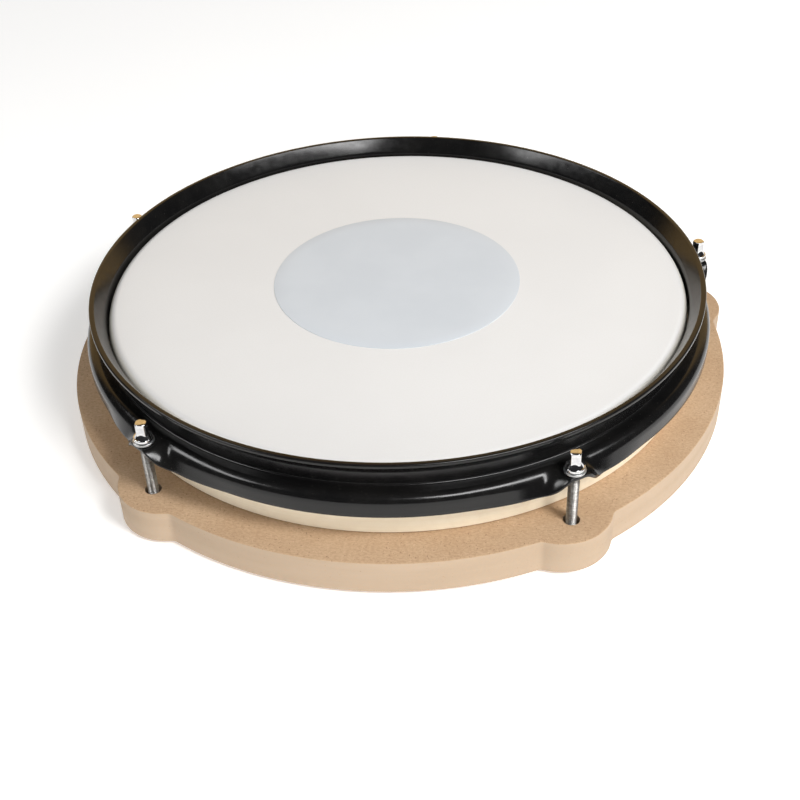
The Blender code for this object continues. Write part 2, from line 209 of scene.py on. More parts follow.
def rounded(corners, steps):
    """Closed outline through (x, y, fillet radius) corners, with each corner turned into an arc."""
    outline = []
    count = len(corners)
    for index, (x, y, radius) in enumerate(corners):
        here = Vector((x, y))
        before = Vector(corners[index - 1][:2]) - here
        after = Vector(corners[(index + 1) % count][:2]) - here
        if radius <= 0.0 or before.length < 1e-6 or after.length < 1e-6:
            outline.append((x, y))
            continue
        before.normalize()
        after.normalize()
        half = before.angle(after) / 2.0
        if half > math.pi / 2.0 - 1e-3:
            outline.append((x, y))
            continue
        reach = radius / math.tan(half)
        middle = here + (before + after).normalized() * (radius / math.sin(half))
        first = here + before * reach - middle
        last = here + after * reach - middle
        for step in range(steps + 1):
            mixed = first.slerp(last, step / steps) if first.angle(last) > 1e-4 else first
            outline.append(tuple(middle + mixed.normalized() * radius))
    return outline


def make_piece(name, verts, faces, mat, sharp_deg=SHARP_DEG):
    """Mesh object from millimetre points, smooth except across edges sharper than sharp_deg."""
    mesh = bpy.data.meshes.new(name)
    mesh.from_pydata([tuple(v) for v in np.asarray(verts, float) * MM], [], faces)
    bm = bmesh.new()
    bm.from_mesh(mesh)
    bmesh.ops.recalc_face_normals(bm, faces=bm.faces)
    bm.to_mesh(mesh)
    bm.free()
    mesh.shade_smooth()
    mesh.set_sharp_from_angle(angle=math.radians(sharp_deg))
    obj = bpy.data.objects.new(name, mesh)
    bpy.context.scene.collection.objects.link(obj)
    if mat is not None:
        mesh.materials.append(mat)
    return obj


def ring_mesh(rings, wrap):
    """Vertices and quads of a skin over equal loops; wrap joins the last loop to the first."""
    count, size = len(rings), len(rings[0])
    verts = [p for ring in rings for p in ring]
    faces = []
    for i in range(count if wrap else count - 1):
        j = (i + 1) % count
        for k in range(size):
            m = (k + 1) % size
            faces.append((i * size + k, i * size + m, j * size + m, j * size + k))
    if not wrap:
        faces.append(tuple(reversed(range(size))))
        faces.append(tuple(range((count - 1) * size, count * size)))
    return verts, faces


def turned(name, profile, mat, segments, centre=(0.0, 0.0), shape=None, sharp_deg=SHARP_DEG):
    """Revolve a closed (r, z) profile; r = 0 gives a pole. shape(angle, r) may change a point's radius."""
    verts, faces, rows = [], [], []
    for radius, height in profile:
        if radius < 1e-6:
            rows.append([len(verts)])
            verts.append((centre[0], centre[1], height))
            continue
        row = []
        for step in range(segments):
            angle = 2.0 * math.pi * step / segments
            real = radius if shape is None else shape(angle, radius)
            row.append(len(verts))
            verts.append((centre[0] + real * math.cos(angle), centre[1] + real * math.sin(angle), height))
        rows.append(row)
    for index, low in enumerate(rows):
        high = rows[(index + 1) % len(rows)]
        if len(low) == 1 and len(high) == 1:
            continue
        for step in range(segments):
            nxt = (step + 1) % segments
            if len(low) == 1:
                faces.append((low[0], high[step], high[nxt]))
            elif len(high) == 1:
                faces.append((low[step], low[nxt], high[0]))
            else:
                faces.append((low[step], low[nxt], high[nxt], high[step]))
    return make_piece(name, verts, faces, mat, sharp_deg)


def shaft(name, radius_at, levels, mat, segments, centre, sharp_deg=40.0):
    """Solid round an upright axis whose radius is radius_at(angles, height)."""
    angles = np.linspace(0.0, 2.0 * math.pi, segments, endpoint=False)
    rings = []
    for level in levels:
        radius = radius_at(angles, level)
        rings.append(np.column_stack((centre[0] + radius * np.cos(angles),
                                      centre[1] + radius * np.sin(angles),
                                      np.full(segments, level))))
    verts, faces = ring_mesh(rings, wrap=False)
    return make_piece(name, verts, faces, mat, sharp_deg)


def carve(piece, cutters, sharp_deg=SHARP_DEG):
    """Cut the cutters out of the piece with exact Booleans and keep the result as its mesh."""
    for cutter in cutters:
        mod = piece.modifiers.new(cutter.name, "BOOLEAN")
        mod.operation = "DIFFERENCE"
        mod.solver = "EXACT"
        mod.object = cutter
    graph = bpy.context.evaluated_depsgraph_get()
    mesh = bpy.data.meshes.new_from_object(piece.evaluated_get(graph))
    piece.modifiers.clear()
    piece.data = mesh
    mesh.shade_smooth()
    mesh.set_sharp_from_angle(angle=math.radians(sharp_deg))
    for cutter in cutters:
        bpy.data.objects.remove(cutter, do_unlink=True)


def settle(piece, body, node):
    """Tie a finished piece to its body and hide the CAD node that it stands for."""
    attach(piece, body)
    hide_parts(node)
    return piece


# ---------------------------------------------------------------- materials

def math_node(tree, operation, first, second):
    """Arithmetic on two values in a node tree; either may be a number or an output."""
    node = tree.nodes.new("ShaderNodeMath")
    node.operation = operation
    for socket, value in zip(node.inputs, (first, second)):
        if isinstance(value, (int, float)):
            socket.default_value = value
        else:
            tree.links.new(value, socket)
    return node.outputs[0]


def spread_node(tree, source, low, high, to_low=0.0, to_high=1.0):
    """Map a value in a node tree smoothly from low..high to to_low..to_high."""
    node = tree.nodes.new("ShaderNodeMapRange")
    node.interpolation_type = "SMOOTHSTEP"
    limits = {"From Min": low, "From Max": high, "To Min": to_low, "To Max": to_high}
    for socket, value in limits.items():
        node.inputs[socket].default_value = value
    tree.links.new(source, node.inputs["Value"])
    return node.outputs["Result"]


class Shader:
    """A Principled material and short ways to feed it."""

    def __init__(self, name, colour, roughness, metallic=0.0):
        """Start with plain values, which the links may replace."""
        self.mat = bpy.data.materials.new(name)
        self.mat.use_nodes = True
        self.tree = self.mat.node_tree
        self.bsdf = self.tree.nodes["Principled BSDF"]
        self.set("Base Color", (*colour, 1.0))
        self.set("Roughness", roughness)
        self.set("Metallic", metallic)
        coords = self.tree.nodes.new("ShaderNodeTexCoord")
        self.place = coords.outputs["Object"]

    def set(self, socket, value):
        """Set a plain value on the shader's own socket."""
        self.bsdf.inputs[socket].default_value = value

    def link(self, source, socket):
        """Feed a node's output into a shader socket."""
        self.tree.links.new(source, self.bsdf.inputs[socket])

    def noise(self, scale, detail=3.0, stretch=None, rough=0.5, seed=0.0):
        """Noise value over the piece; scale is in features per metre."""
        node = self.tree.nodes.new("ShaderNodeTexNoise")
        node.inputs["Scale"].default_value = scale
        node.inputs["Detail"].default_value = detail
        node.inputs["Roughness"].default_value = rough
        mapping = self.tree.nodes.new("ShaderNodeMapping")
        mapping.inputs["Scale"].default_value = stretch or (1.0, 1.0, 1.0)
        mapping.inputs["Location"].default_value = (seed, seed * 0.7, seed * 1.3)
        self.tree.links.new(self.place, mapping.inputs["Vector"])
        self.tree.links.new(mapping.outputs["Vector"], node.inputs["Vector"])
        return node.outputs["Fac"]

    def spread(self, source, low, high, to_low=0.0, to_high=1.0):
        """Map a value smoothly from low..high to to_low..to_high."""
        return spread_node(self.tree, source, low, high, to_low, to_high)

    def mix(self, factor, first, second):
        """Mix two colours; either may be a colour or an output."""
        node = self.tree.nodes.new("ShaderNodeMix")
        node.data_type = "RGBA"
        if isinstance(factor, (int, float)):
            node.inputs[0].default_value = factor
        else:
            self.tree.links.new(factor, node.inputs[0])
        for socket, value in ((node.inputs[6], first), (node.inputs[7], second)):
            if isinstance(value, tuple):
                socket.default_value = (*value, 1.0)
            else:
                self.tree.links.new(value, socket)
        return node.outputs[2]

    def math(self, operation, first, second):
        """Arithmetic on two values; either may be a number or an output."""
        return math_node(self.tree, operation, first, second)

    def normal_z(self):
        """How far the surface faces up or down, 0..1."""
        geometry = self.tree.nodes.new("ShaderNodeNewGeometry")
        split = self.tree.nodes.new("ShaderNodeSeparateXYZ")
        self.tree.links.new(geometry.outputs["Normal"], split.inputs[0])
        return self.math("ABSOLUTE", split.outputs["Z"], 0.0)

    def reach(self):
        """Distance from the piece's own upright axis in metres."""
        split = self.tree.nodes.new("ShaderNodeSeparateXYZ")
        self.tree.links.new(self.place, split.inputs[0])
        squares = [self.math("MULTIPLY", split.outputs[axis], split.outputs[axis]) for axis in ("X", "Y")]
        return self.math("SQRT", self.math("ADD", *squares), 0.0)

    def height(self):
        """Height above the resting plane in metres."""
        split = self.tree.nodes.new("ShaderNodeSeparateXYZ")
        self.tree.links.new(self.place, split.inputs[0])
        return split.outputs["Z"]

    def bump(self, source, depth_mm, strength=1.0):
        """Drive the normal with a height of the given depth."""
        node = self.tree.nodes.new("ShaderNodeBump")
        node.inputs["Distance"].default_value = depth_mm * MM
        node.inputs["Strength"].default_value = strength
        self.tree.links.new(source, node.inputs["Height"])
        self.tree.links.new(node.outputs["Normal"], self.bsdf.inputs["Normal"])


def enamel_material():
    """Semi-gloss black stove enamel with faint orange peel and a little dust."""
    s = Shader("black_enamel", (0.0065, 0.0065, 0.0065), 0.2)
    tone = s.spread(s.noise(60.0, 4.0), 0.35, 0.65)
    coat = s.mix(tone, (0.0052, 0.0052, 0.0054), (0.0080, 0.0078, 0.0076))
    dust = s.spread(s.noise(1500.0, 1.0, seed=12.0), 0.77, 0.80)
    s.link(s.mix(s.math("MULTIPLY", dust, 0.35), coat, (0.16, 0.15, 0.13)), "Base Color")
    s.link(s.spread(s.noise(240.0, 5.0, seed=2.0), 0.3, 0.75, 0.15, 0.23), "Roughness")
    s.set("Specular IOR Level", 0.38)
    s.bump(s.noise(420.0, 2.0, seed=5.0), 0.02, 0.3)
    return s.mat


def rod_material():
    """Bright plated head and collar over a duller rolled thread."""
    s = Shader("chromed_steel", (0.80, 0.80, 0.81), 0.1, 1.0)
    washer_top, fade = node_box("rod_washer_1")[1][2], 1.2
    bright = s.spread(s.height(), (washer_top - fade) * MM, washer_top * MM)
    plate = s.mix(s.spread(s.noise(500.0, 4.0), 0.35, 0.7), (0.60, 0.60, 0.61), (0.76, 0.76, 0.76))
    thread = s.mix(s.spread(s.noise(700.0, 4.0), 0.3, 0.7), (0.26, 0.25, 0.235), (0.42, 0.41, 0.395))
    s.link(s.mix(bright, thread, plate), "Base Color")
    fine = s.spread(s.noise(900.0, 5.0, (1.0, 1.0, 4.0), seed=3.0), 0.35, 0.8, 0.06, 0.16)
    s.link(s.math("ADD", fine, s.spread(bright, 0.0, 1.0, 0.32, 0.0)), "Roughness")
    s.bump(s.noise(1500.0, 3.0, seed=7.0), 0.01, 0.25)
    return s.mat


def zinc_material():
    """Dull zinc-plated steel."""
    s = Shader("zinc_steel", (0.55, 0.56, 0.57), 0.34, 1.0)
    tone = s.spread(s.noise(350.0, 5.0), 0.3, 0.7)
    s.link(s.mix(tone, (0.46, 0.46, 0.45), (0.64, 0.65, 0.67)), "Base Color")
    s.link(s.spread(s.noise(700.0, 4.0, seed=4.0), 0.3, 0.7, 0.26, 0.46), "Roughness")
    s.bump(s.noise(1800.0, 3.0, seed=1.0), 0.02, 0.4)
    return s.mat


def film_material():
    """White coated film: fine sprayed grit over a faintly cloudy base, with a painted glow on the rounded
    edge.
    """
    s = Shader("coated_film", (0.82, 0.81, 0.79), 0.42)
    cloud = s.spread(s.noise(14.0, 3.0), 0.3, 0.7)
    fine = s.spread(s.noise(1300.0, 2.0, seed=6.0), 0.3, 0.7)
    base = s.mix(cloud, (0.832, 0.835, 0.842), (0.857, 0.860, 0.866))
    face = s.mix(s.math("MULTIPLY", fine, 0.35), base, (0.805, 0.80, 0.79))
    # Painted glow: the rounded edge is painted a lighter cream, standing in for light shining through the
    # thin film.
    edge = s.spread(s.reach(), EDGE_GLOW_FROM_R * MM, EDGE_GLOW_FULL_R * MM)
    s.link(s.mix(edge, face, (0.93, 0.90, 0.82)), "Base Color")
    s.link(s.spread(s.noise(900.0, 3.0, seed=8.0), 0.3, 0.7, 0.36, 0.5), "Roughness")
    s.bump(s.noise(1600.0, 3.0, seed=9.0), 0.03, 0.35)
    return s.mat


def dot_material():
    """Pale blue-grey film dot, a little smoother than the head."""
    s = Shader("dot_film", (0.665, 0.694, 0.723), 0.4)
    cloud = s.spread(s.noise(30.0, 4.0, seed=3.0), 0.3, 0.7)
    s.link(s.mix(cloud, (0.650, 0.700, 0.760), (0.680, 0.729, 0.788)), "Base Color")
    s.link(s.spread(s.noise(1100.0, 3.0, seed=5.0), 0.3, 0.7, 0.34, 0.46), "Roughness")
    s.bump(s.noise(1600.0, 3.0, seed=2.0), 0.025, 0.3)
    return s.mat


def fibreboard_material():
    """Medium-density fibreboard: speckled tan faces and smooth, slightly paler cut edges."""
    s = Shader("fibreboard", (0.62, 0.44, 0.275), 0.75)
    cloud = s.spread(s.noise(28.0, 5.0), 0.3, 0.7)
    face = s.mix(cloud, (0.560, 0.386, 0.240), (0.632, 0.450, 0.290))
    grain = s.spread(s.noise(620.0, 6.0, (1.0, 1.6, 1.0), 0.65, seed=2.0), 0.32, 0.68)
    face = s.mix(grain, s.mix(0.45, face, (0.34, 0.20, 0.11)), face)
    fleck = s.spread(s.noise(900.0, 2.0, (1.5, 0.8, 1.0), seed=11.0), 0.66, 0.72)
    face = s.mix(s.math("MULTIPLY", fleck, 0.7), face, (0.24, 0.13, 0.065))
    pale = s.spread(s.noise(1100.0, 2.0, seed=14.0), 0.68, 0.74)
    face = s.mix(s.math("MULTIPLY", pale, 0.4), face, (0.84, 0.68, 0.48))
    band = s.spread(s.noise(24.0, 3.0, (0.5, 0.5, 5.0), 0.5, seed=4.0), 0.3, 0.7)
    side = s.mix(band, (0.475, 0.365, 0.262), (0.515, 0.402, 0.297))
    fuzz = s.spread(s.noise(900.0, 4.0, seed=7.0), 0.35, 0.75)
    side = s.mix(s.math("MULTIPLY", fuzz, 0.3), side, (0.56, 0.385, 0.25))
    speck = s.spread(s.noise(1000.0, 2.0, seed=17.0), 0.70, 0.76)
    side = s.mix(s.math("MULTIPLY", speck, 0.45), side, (0.33, 0.20, 0.11))
    facing = s.spread(s.normal_z(), 0.45, 0.8)
    s.link(s.mix(facing, side, face), "Base Color")
    s.link(s.spread(s.noise(300.0, 4.0, seed=8.0), 0.3, 0.7, 0.68, 0.86), "Roughness")
    s.set("Specular IOR Level", 0.25)
    s.bump(s.noise(1100.0, 5.0, rough=0.6, seed=9.0), 0.08, 0.45)
    return s.mat


def riser_material():
    """Cream softwood-core board with faint layers on its cut edge."""
    s = Shader("pale_wood", (0.78, 0.69, 0.52), 0.6)
    layer = s.spread(s.noise(45.0, 4.0, (0.25, 0.25, 22.0), 0.6), 0.3, 0.72)
    tone = s.mix(layer, (0.940, 0.850, 0.670), (0.970, 0.890, 0.720))
    streak = s.spread(s.noise(160.0, 5.0, (0.5, 3.0, 1.0), 0.6, seed=5.0), 0.35, 0.8)
    s.link(s.mix(s.math("MULTIPLY", streak, 0.25), tone, (0.78, 0.67, 0.50)), "Base Color")
    s.link(s.spread(s.noise(260.0, 4.0, seed=3.0), 0.3, 0.7, 0.5, 0.7), "Roughness")
    s.bump(s.noise(500.0, 4.0, (0.4, 0.4, 4.0), seed=6.0), 0.08, 0.4)
    return s.mat


def support_material():
    """Plain hardboard disc under the foam."""
    s = Shader("support_board", (0.36, 0.24, 0.14), 0.7)
    tone = s.spread(s.noise(260.0, 6.0), 0.3, 0.7)
    s.link(s.mix(tone, (0.30, 0.195, 0.11), (0.42, 0.29, 0.175)), "Base Color")
    s.bump(s.noise(900.0, 4.0, seed=2.0), 0.08, 0.5)
    return s.mat


def foam_material():
    """Dark open-cell foam."""
    s = Shader("foam", (0.045, 0.046, 0.05), 0.95)
    cell = s.tree.nodes.new("ShaderNodeTexVoronoi")
    cell.inputs["Scale"].default_value = 1400.0
    s.tree.links.new(s.place, cell.inputs["Vector"])
    deep = s.spread(cell.outputs["Distance"], 0.1, 0.7)
    s.link(s.mix(deep, (0.07, 0.072, 0.078), (0.02, 0.02, 0.022)), "Base Color")
    s.bump(deep, 0.35, 0.8)
    return s.mat


def alloy_material():
    """Brushed aluminium flesh hoop."""
    s = Shader("flesh_hoop_alloy", (0.72, 0.72, 0.73), 0.3, 1.0)
    line = s.spread(s.noise(300.0, 4.0, (0.4, 0.4, 12.0)), 0.3, 0.7)
    s.link(s.mix(line, (0.62, 0.62, 0.63), (0.78, 0.78, 0.79)), "Base Color")
    s.link(s.spread(s.noise(500.0, 3.0, (0.4, 0.4, 10.0), seed=2.0), 0.3, 0.7, 0.22, 0.42), "Roughness")
    return s.mat


def rubber_material():
    """Black non-slip rubber with a pebbled face."""
    s = Shader("grip_rubber", (0.018, 0.018, 0.019), 0.82)
    pebble = s.tree.nodes.new("ShaderNodeTexVoronoi")
    pebble.inputs["Scale"].default_value = 420.0
    s.tree.links.new(s.place, pebble.inputs["Vector"])
    raised = s.spread(pebble.outputs["Distance"], 0.05, 0.75, 1.0, 0.0)
    dust = s.spread(s.noise(40.0, 5.0), 0.45, 0.75)
    s.link(s.mix(s.math("MULTIPLY", dust, 0.4), (0.016, 0.016, 0.017), (0.05, 0.047, 0.043)), "Base Color")
    s.bump(raised, 0.3, 0.7)
    return s.mat


# ---------------------------------------------------------------- board, riser and hidden discs

def board_outline(inset):
    """Scalloped outline: a circle with a rounded lobe at each lug and filleted inside corners."""
    main_r, lobe_r, fillet_r = BOARD_R - inset, LOBE_R - inset, LOBE_FILLET_R + inset
    lobe_c = LOBE_TIP_R - LOBE_R
    reach, near = main_r + fillet_r, lobe_r + fillet_r
    half = math.acos((reach ** 2 + lobe_c ** 2 - near ** 2) / (2.0 * reach * lobe_c))
    fillet = (reach * math.cos(half), reach * math.sin(half))
    lobe_dir = math.atan2(fillet[1], fillet[0] - lobe_c)
    back = math.atan2(-fillet[1], lobe_c - fillet[0])
    step = math.radians(LUG_STEP_DEG)
    outline = []
    for lug in lug_angles():
        local = arc((fillet[0], -fillet[1]), fillet_r, math.pi - half, -back, FILLET_POINTS)
        local += arc((lobe_c, 0.0), lobe_r, -lobe_dir, lobe_dir, LOBE_POINTS)[1:-1]
        local += arc(fillet, fillet_r, back, half - math.pi, FILLET_POINTS)
        local += arc((0.0, 0.0), main_r, half, step - half, BAY_POINTS)[1:-1]
        cos_l, sin_l = math.cos(lug), math.sin(lug)
        outline += [(x * cos_l - y * sin_l, x * sin_l + y * cos_l) for x, y in local]
    return outline


def drill(name, centre, low, high, radius):
    """Cylindrical cutter."""
    return turned(name, [(0.0, low), (radius, low), (radius, high), (0.0, high)], None, 48, centre)


def build_board(mat):
    """Fibreboard base with eased edges, rod holes and nut recesses."""
    levels = []
    for step in range(BOARD_EASE_STEPS + 1):
        turn = math.pi / 2.0 * step / BOARD_EASE_STEPS
        levels.append((BOARD_EASE * (1.0 - math.sin(turn)), BOARD_LOW + BOARD_EASE * (1.0 - math.cos(turn))))
    levels += [(inset, BOARD_LOW + BOARD_HIGH - z) for inset, z in reversed(levels)]
    rings = [[(x, y, z) for x, y in board_outline(inset)] for inset, z in levels]
    verts, faces = ring_mesh(rings, wrap=False)
    board = make_piece("board_body", verts, faces, mat)
    cutters = []
    low, recess = BOARD_LOW - CUT_OVER, BOARD_LOW + NUT_RECESS_DEPTH
    for index, centre in enumerate(ROD_CENTRES):
        cutters.append(drill(f"hole_{index}", centre, low, BOARD_HIGH + CUT_OVER, ROD_HOLE_R))
        cutters.append(drill(f"recess_{index}", centre, low, recess, NUT_RECESS_R))
    carve(board, cutters)
    settle(board, "pad_base", "base_board")


def disc_profile(radius, low, high, ease, steps=4, bulge=0.0):
    """Closed half-section of a disc with rounded rims and, if wanted, a bulging side."""
    rims = rounded([(0.0, low, 0.0), (radius, low, ease), (radius, high, ease), (0.0, high, 0.0)], steps)
    lower, upper = rims[:steps + 2], rims[steps + 2:]
    parts = 6
    side = []
    for step in range(1, parts):
        t = step / parts
        side.append((radius + bulge * 4.0 * t * (1.0 - t), low + ease + (high - low - 2 * ease) * t))
    bottom = [(r, low) for r in np.linspace(radius * 0.12, radius * 0.9, parts + 1)]
    top = [(r, high) for r in np.linspace(radius * 0.9, radius * 0.12, parts + 1)]
    return lower[:1] + bottom + lower[1:] + side + upper[:-1] + top + upper[-1:]


def box_ring(inner, outer, low, high, ease):
    """Closed half-section of a ring with a rounded rectangular section."""
    return rounded([(inner, low, ease), (outer, low, ease), (outer, high, ease), (inner, high, ease)], 4)


def build_riser(mat):
    """Solid riser disc."""
    profile = disc_profile(RISER_R, RISER_LOW, RISER_HIGH, 0.5)
    riser = turned("riser_body", profile, mat, OPEN_SEGMENTS)
    settle(riser, "pad_base", "riser_disc")


def build_plain_disc(name, node, ease, mat, bulge=0.0):
    """One of the hidden round layers."""
    low, high = node_box(node)
    profile = disc_profile(node_radius(node), low[2], high[2], ease, bulge=bulge)
    return settle(turned(name, profile, mat, HIDDEN_SEGMENTS), "pad_base", node)


def build_flesh_hoop(mat):
    """Rounded box-section ring that the film is clamped in."""
    low, high = node_box("flesh_hoop")
    outer = node_radius("flesh_hoop")
    profile = box_ring(outer - FLESH_HOOP_WIDTH, outer, low[2], high[2], FLESH_HOOP_ROUND)
    ring = turned("flesh_ring", profile, mat, HIDDEN_SEGMENTS)
    settle(ring, "pad_base", "flesh_hoop")


def build_head(mat):
    """Film head: flat playing area, rounded edge, collar and tucked lip."""
    def skin(depth):
        """Section line at this depth in the film, from the centre out and down to the lip."""
        flat = [(r, HEAD_TOP - depth) for r in np.linspace(0.0, HEAD_FLAT_R, 13)]
        return flat + rounded([(HEAD_FLAT_R, HEAD_TOP - depth, 0.0),
                               (HEAD_R - depth, HEAD_TOP - depth, HEAD_BEND_R - depth),
                               (HEAD_R - depth, HEAD_FOOT_TOP + HEAD_FOOT_RISE - depth, 0.6),
                               (HEAD_FOOT_R - depth, HEAD_FOOT_TOP - depth, 0.4),
                               (HEAD_FOOT_R - depth, HEAD_FOOT_BOTTOM, 0.0)], 10)[1:]
    profile = skin(0.0) + list(reversed(skin(HEAD_T)))
    head = turned("head_film", profile, mat, OPEN_SEGMENTS, sharp_deg=50.0)
    settle(head, "pad_base", "drum_head")


def build_dot(mat):
    """Reinforcing dot on the head, stuck on slightly off centre."""
    low, high = node_box("centre_dot")
    profile = disc_profile(node_radius("centre_dot"), low[2], high[2], 0.1, 3)
    centre = node_centre("centre_dot")
    dot = turned("dot_film_disc", profile, mat, OPEN_SEGMENTS, centre[:2])
    settle(dot, "pad_base", "centre_dot")


# ---------------------------------------------------------------- counter hoop

def skirt_strip(offset_deg):
    """Outer line, rounded tip and inner line of the bend and skirt, or of the ear, at an angle from a lug."""
    away = abs(offset_deg)
    calm = smooth((away - CALMING_DEG) / (UPRIGHT_DEG - CALMING_DEG))
    tilt = FLARED_TILT * smooth((away - EAR_HALF_DEG) / (FLARED_DEG - EAR_HALF_DEG))
    tilt += (0.5 * math.pi - FLARED_TILT) * calm
    bend_r = EAR_BEND_R + (BEND_R - EAR_BEND_R) * calm
    start_r = EAR_SHELF_END_R + (SHELF_END_R - EAR_SHELF_END_R) * calm
    length = EAR_LENGTH + (FLANGE_LENGTH - EAR_LENGTH) * calm - EDGE_R
    quarter = 0.5 * math.pi * bend_r
    stops = [quarter * k / BEND_STEPS for k in range(1, BEND_STEPS + 1)]
    stops += [quarter + (length - quarter) * k / SKIRT_STEPS for k in range(1, SKIRT_STEPS + 1)]
    outer, inner = [(start_r, -SHELF_DROP)], [(start_r, -SHELF_DROP - HOOP_T)]
    for stop in stops:
        angle = min(stop / bend_r, tilt)
        straight = stop - bend_r * angle
        radius = start_r + bend_r * math.sin(angle) + straight * math.cos(angle)
        height = -SHELF_DROP - bend_r * (1.0 - math.cos(angle)) - straight * math.sin(angle)
        outer.append((radius, height))
        inner.append((radius - HOOP_T * math.sin(angle), height - HOOP_T * math.cos(angle)))
    tip = []
    for depth, first in ((EDGE_R, 0.0), (HOOP_T - EDGE_R, 0.5 * math.pi)):
        for step in range(EDGE_STEPS + 1):
            swing = first + 0.5 * math.pi * step / EDGE_STEPS
            forward, down = EDGE_R * math.sin(swing), depth - EDGE_R * math.cos(swing)
            tip.append((radius + forward * math.cos(angle) - down * math.sin(angle),
                        height - forward * math.sin(angle) - down * math.cos(angle)))
    return outer, tip[1:-1], inner


def hoop_section(offset_deg):
    """Closed (r, z) section of the counter hoop with heights from the rim."""
    wall_out = WALL_IN_R + HOOP_T - WALL_THINNING
    shelf = wall_out + SHELF_START
    under = -SHELF_DROP - HOOP_T
    lip = rounded([(shelf, under, 0.0), (WALL_IN_R, under, 1.2), (WALL_IN_R, -FLARE_DROP, 5.0),
                   (RIM_IN_R, 0.0, 0.9), (RIM_OUT_R, 0.0, 0.9), (RIM_OUT_R, -LIP_T, 0.6),
                   (GROOVE_R, -GROOVE_DROP, 0.5), (wall_out, FLARE_OUTER_RISE - FLARE_DROP, 4.0),
                   (wall_out, -SHELF_DROP, 1.1), (shelf, -SHELF_DROP, 0.0)], 6)
    outer, tip, inner = skirt_strip(offset_deg)
    middle = shelf + (outer[0][0] - shelf) * 0.5
    return lip + [(middle, -SHELF_DROP)] + outer + tip + list(reversed(inner)) + [(middle, under)]


def hoop_offsets():
    """Angles of the sections from a lug to halfway to its neighbours, closest together at the ear."""
    half = list(np.arange(0.0, FINE_UNTIL_DEG, FINE_STEP_DEG))
    half += list(np.arange(FINE_UNTIL_DEG, MEDIUM_UNTIL_DEG, MEDIUM_STEP_DEG))
    half += list(np.linspace(MEDIUM_UNTIL_DEG, LUG_STEP_DEG / 2.0, WIDE_STATIONS))
    return [-v for v in reversed(half[1:-1])] + half


def build_hoop(mat):
    """Pressed steel hoop: flared rim, wall, shelf and drop skirt opened into ears at the lugs."""
    rings = []
    sections = [(offset, np.array(hoop_section(offset))) for offset in hoop_offsets()]
    for lug in lug_angles():
        for offset, section in sections:
            angle = lug + math.radians(offset)
            rings.append(np.column_stack((section[:, 0] * math.cos(angle), section[:, 0] * math.sin(angle),
                                          RIM_TOP + section[:, 1])))
    verts, faces = ring_mesh(rings, wrap=True)
    hoop = make_piece("hoop_body", verts, faces, mat, HOOP_SHARP_DEG)
    ear_top, over = RIM_TOP - SHELF_DROP, 4.0
    cutters = [drill(f"ear_hole_{i}", c, ear_top - HOOP_T - over, ear_top + over, EAR_HOLE_R)
               for i, c in enumerate(ROD_CENTRES)]
    carve(hoop, cutters, HOOP_SHARP_DEG)
    settle(hoop, "hoop", "counter_hoop")


# ---------------------------------------------------------------- rods, washers, nuts and screws

def eased(depth, edge_r):
    """How far a rounded edge has drawn in at this depth from the end face."""
    fall = max(edge_r - depth, 0.0)
    return edge_r - math.sqrt(max(edge_r ** 2 - fall ** 2, 0.0))


def rod_radius(seat, top, tip, thread_top):
    """Radius function of a tension rod: rolled thread, plain neck, collar, cone and square head."""
    def radius_at(angles, level):
        """Radius at each angle; the thread's phase follows the angle, so it winds as a helix."""
        if level < seat - 0.005:
            fade = smooth((level - tip) / 1.2) * smooth((thread_top - level) / 1.4)
            phase = (level / THREAD_PITCH - angles / (2.0 * math.pi)) % 1.0
            groove = 0.5 + 0.5 * np.cos(2.0 * math.pi * phase)
            radius = ROD_R - THREAD_DEPTH * fade * np.clip(groove * 1.25 - 0.12, 0.0, 1.0)
            return np.minimum(radius, ROD_R - TIP_CHAMFER + (level - tip) * 0.9)
        collar_top = seat + COLLAR_T
        if level <= collar_top:
            depth = min(level - seat, collar_top - level)
            return np.full(angles.shape, COLLAR_R - eased(depth, COLLAR_ROUND))
        cone = CONE_R - (level - collar_top) * CONE_SLOPE
        corner = SQUARE_HALF / np.maximum(np.abs(np.cos(angles)), np.abs(np.sin(angles)))
        square = np.minimum(corner, CORNER_CUT_R)
        dome = SQUARE_HALF + HEAD_DOME_EDGE + (top - level) * HEAD_DOME_SLOPE
        return np.maximum(np.minimum(square, dome), cone) - eased(top - level, HEAD_EDGE_R)
    return radius_at


def build_rod(number, mat):
    """Square-headed tension rod, modelled with its axis on the joint's axis."""
    low, high = node_box(f"tension_rod_{number}")
    tip, top = low[2], high[2]
    seat = node_box(f"rod_washer_{number}")[1][2] + SEAT_GAP
    thread_top = seat - THREAD_END_BELOW_SEAT
    # Levels stand closer together where the radius changes fast.
    levels = list(np.arange(tip, thread_top, THREAD_PITCH / THREAD_STEPS)) + [thread_top]
    levels += [seat - 3.0, seat - 0.01]
    levels += [seat + v for v in (0.0, 0.04, 0.1, 0.2, 0.3, 0.8, 1.25, 1.35, 1.45, 1.51, COLLAR_T)]
    levels += [seat + COLLAR_T + 0.01 + 0.12 * k for k in range(24)]
    levels += list(np.linspace(seat + 4.6, top - 1.5, 6))
    levels += [top - v for v in (1.3, 1.15, 1.0, 0.85, 0.7, 0.55, 0.4, 0.25, 0.17, 0.1, 0.04, 0.0)]
    radius_at = rod_radius(seat, top, tip, thread_top)
    rod = shaft(f"rod_{number}_body", radius_at, levels, mat, 72, (0.0, 0.0), 30.0)
    place = Matrix.Translation(Vector((*ROD_CENTRES[number - 1], 0.0)) * MM)
    turn = math.radians(HEAD_ANGLES_DEG[number - 1])
    rod.matrix_world = place @ Matrix.Rotation(turn, 4, "Z")
    settle(rod, f"rod_{number}", f"tension_rod_{number}")


